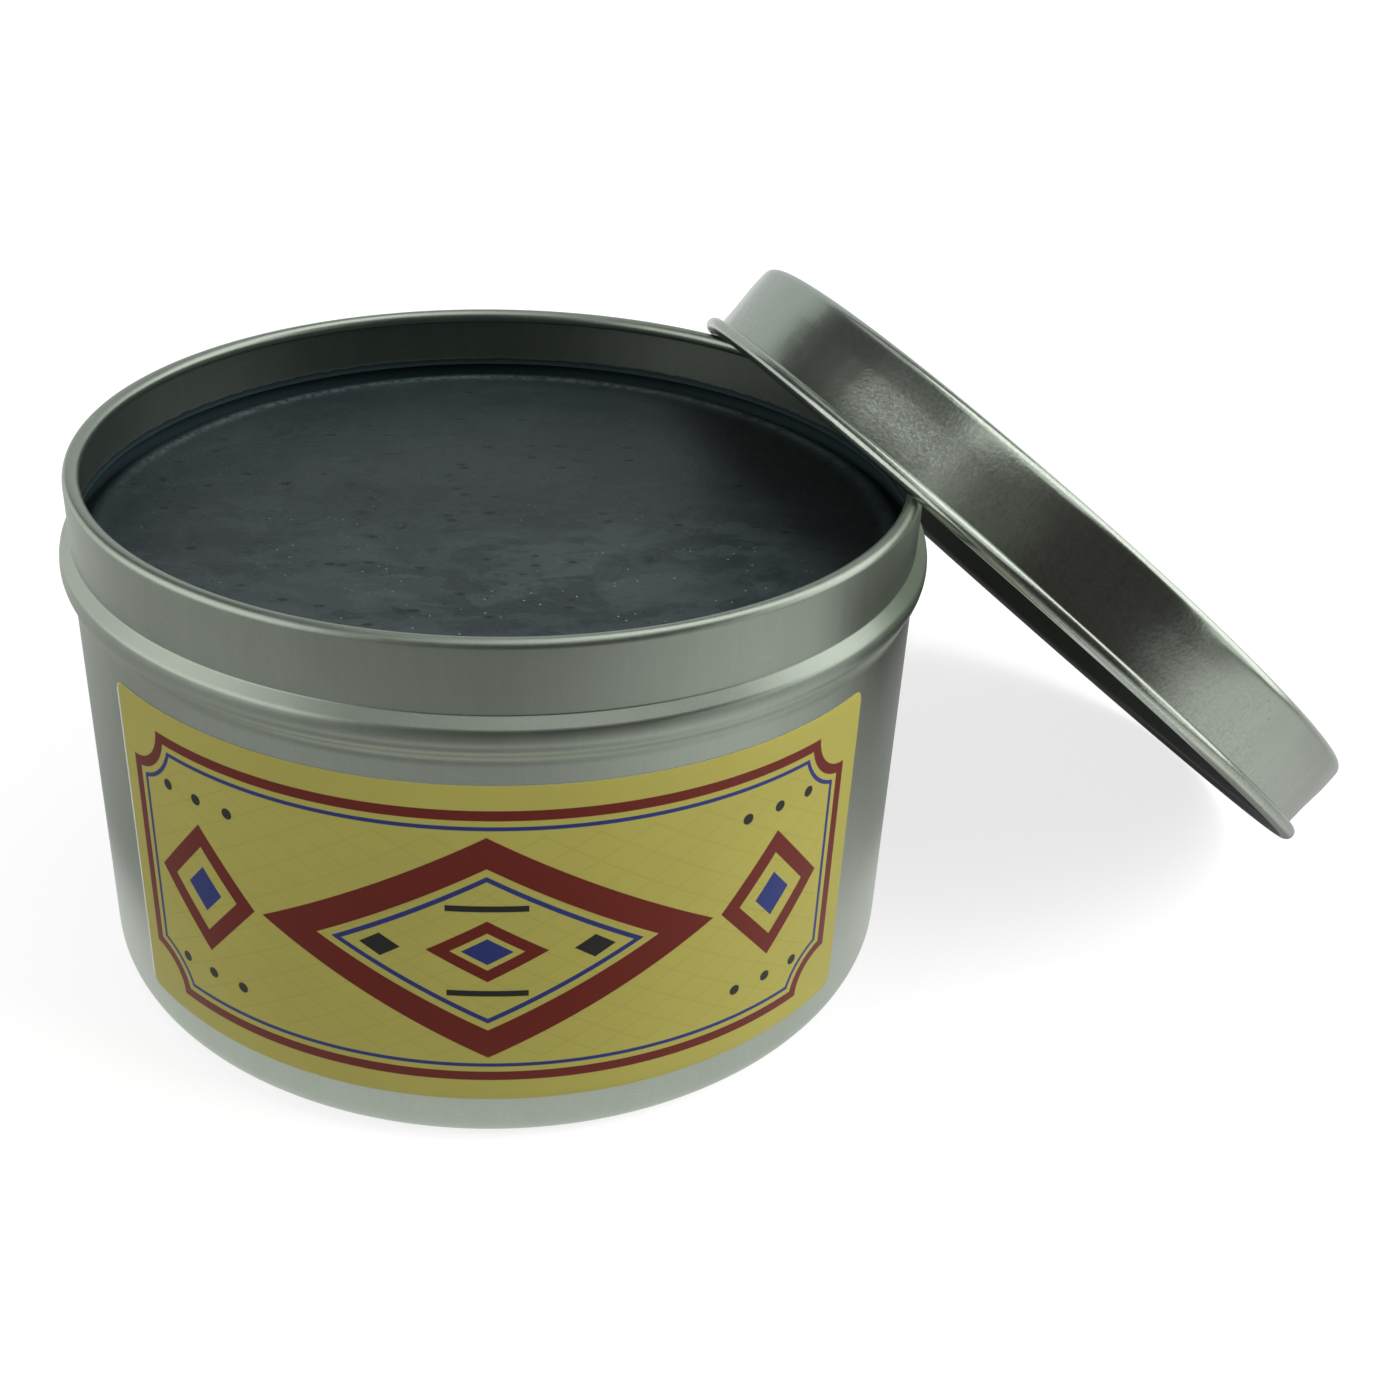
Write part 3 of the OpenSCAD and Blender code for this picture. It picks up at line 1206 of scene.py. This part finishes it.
def make_table_card():
    """The table as the metal sees it: pale by the tin's foot, dim in front, with the lid's shadow painted
    dark under the lid.
    """
    material, f = new_finish("table card")
    x, y, _ = f.axes(f.point())
    reach = (x * x + y * y) ** 0.5
    right = (x / reach).most(0.0)
    left = (-x / reach).most(0.0)
    front = (-y / reach).most(0.0)
    back = (y / reach).most(0.0)
    near = 1.0 - reach.rise(180.0, 400.0)
    level = 0.20 + 0.50 * front * (1.0 - abs(reach - 106.0).rise(6.0, 28.0))
    level = level + left * left * 0.20 + back * (0.35 + 0.35 * reach.rise(95.0, 130.0))
    level = level + (right**1.5 * 0.30 + right * right * front * 0.85) * near
    level = level + (0.92 - level) * (1.0 - reach.rise(52.0, 60.0))
    # Painted shadow of the lid: the table is darker under the lid and along the edge where it leans.
    lid_x, lid_y = 74.0, 28.0
    from_lid = ((x - lid_x) * (x - lid_x) + (y - lid_y) * (y - lid_y)) ** 0.5
    level = level * (0.8 + 0.2 * from_lid.rise(18.0, 42.0))
    edge_x, edge_y = 76.0, -22.0
    edge_cos, edge_sin = 0.943, 0.333
    across = (x - edge_x) * edge_cos - (y - edge_y) * edge_sin
    along = (x - edge_x) * edge_sin + (y - edge_y) * edge_cos
    lid_edge_shadow = along.rise(-25.0, -5.0) * (1.0 - along.rise(95.0, 120.0))
    lid_edge_shadow = lid_edge_shadow * (1.0 - abs(across - 6.0).rise(9.0, 15.0))
    level = level * (1.0 - lid_edge_shadow * 0.5)
    shader = f.add("ShaderNodeEmission", {}, {"Color": f.mix(level, (0, 0, 0, 1), WHITE), "Strength": 1.0})
    f.add("ShaderNodeOutputMaterial", {}, {"Surface": shader})
    bm = bmesh.new()
    bmesh.ops.create_circle(bm, cap_ends=True, segments=64, radius=2.5)
    bmesh.ops.translate(bm, verts=bm.verts, vec=(0.0, 0.0, 0.3 * MM))
    only_mirrored(object_from("table card", bm, material))


def make_lamp(name, place, size, power):
    """A soft rectangular lamp aimed at the tin. The cards stand for it in the metal."""
    lamp = bpy.data.lights.new(name, "AREA")
    lamp.shape = "RECTANGLE"
    lamp.size, lamp.size_y = size
    lamp.energy = power
    holder = bpy.data.objects.new(name, lamp)
    holder.location = place
    aim = Vector((0.02, 0.0, 0.03)) - Vector(place)
    holder.rotation_euler = aim.to_track_quat("-Z", "Y").to_euler()
    holder.visible_glossy = False
    bpy.context.scene.collection.objects.link(holder)


def make_camera(look):
    """Stands the camera where the photograph was taken."""
    level = math.cos(look.camera_down)
    ahead = Vector(
        (math.sin(look.camera_yaw) * level, math.cos(look.camera_yaw) * level, -math.sin(look.camera_down))
    )
    right = Vector((math.cos(look.camera_yaw), -math.sin(look.camera_yaw), 0.0))
    up = right.cross(ahead)
    side = right * math.cos(look.camera_roll) + up * math.sin(look.camera_roll)
    over = up * math.cos(look.camera_roll) - right * math.sin(look.camera_roll)
    data = bpy.data.cameras.new("photograph")
    data.sensor_width = 36.0
    data.lens = look.camera_lens
    data.shift_x = look.camera_shift
    data.clip_start = 0.005
    camera = bpy.data.objects.new("photograph", data)
    turn = Matrix((side, over, -ahead)).transposed().to_4x4()
    camera.matrix_world = Matrix.Translation(Vector(look.camera_place)) @ turn
    bpy.context.scene.collection.objects.link(camera)
    bpy.context.scene.camera = camera


class WAXTIN_OT_stage(bpy.types.Operator):
    """Sets the white stage, the soft light and the camera"""

    bl_idname = "waxtin.stage"
    bl_label = "Stage"

    def execute(self, context):
        look = context.scene.wax_tin_stage
        context.scene.view_settings.view_transform = "Standard"
        make_world(look)
        make_floor()
        make_table_card()
        for name, place, corners, colour in CARDS:
            make_card(name, [place(*corner) for corner in corners], colour)
        make_lamp("top lamp", (0.05, 0.10, 0.75), (0.6, 0.6), look.top_power)
        make_lamp("right lamp", (0.70, -0.15, 0.42), (0.6, 0.6), look.right_power)
        make_lamp("left lamp", (-0.62, -0.30, 0.40), (0.40, 0.40), look.left_power)
        make_camera(look)
        return {"FINISHED"}


# Panel and registration


class WAXTIN_PT_sidebar(bpy.types.Panel):
    """Lists the pieces of the wax tin"""

    bl_idname = "WAXTIN_PT_sidebar"
    bl_label = "Wax Tin"
    bl_space_type = "VIEW_3D"
    bl_region_type = "UI"
    bl_category = "Wax Tin"

    def draw(self, context):
        scene = context.scene
        column = self.layout.column()
        for operator in OPERATORS:
            column.operator(operator.bl_idname)
        for key, group in GROUPS.items():
            box = self.layout.box()
            for name in group.__annotations__:
                box.prop(getattr(scene, key), name)


OPERATORS = (
    WAXTIN_OT_tin_body,
    WAXTIN_OT_lid,
    WAXTIN_OT_wax,
    WAXTIN_OT_label,
    WAXTIN_OT_stage,
)
GROUPS = {
    "wax_tin_body": WaxTinBody,
    "wax_tin_lid": WaxTinLid,
    "wax_tin_fill": WaxTinFill,
    "wax_tin_label": WaxTinLabel,
    "wax_tin_stage": WaxTinStage,
}


def register():
    for key, group in GROUPS.items():
        bpy.utils.register_class(group)
        setattr(bpy.types.Scene, key, PointerProperty(type=group))
    for operator in OPERATORS:
        bpy.utils.register_class(operator)
    bpy.utils.register_class(WAXTIN_PT_sidebar)


def unregister():
    bpy.utils.unregister_class(WAXTIN_PT_sidebar)
    for operator in reversed(OPERATORS):
        bpy.utils.unregister_class(operator)
    for key, group in GROUPS.items():
        delattr(bpy.types.Scene, key)
        bpy.utils.unregister_class(group)


def main():
    register()
    bpy.ops.waxtin.stage()
    bpy.ops.waxtin.tin_body()
    bpy.ops.waxtin.lid()
    bpy.ops.waxtin.wax()
    bpy.ops.waxtin.label()


if __name__ == "__main__":
    main()
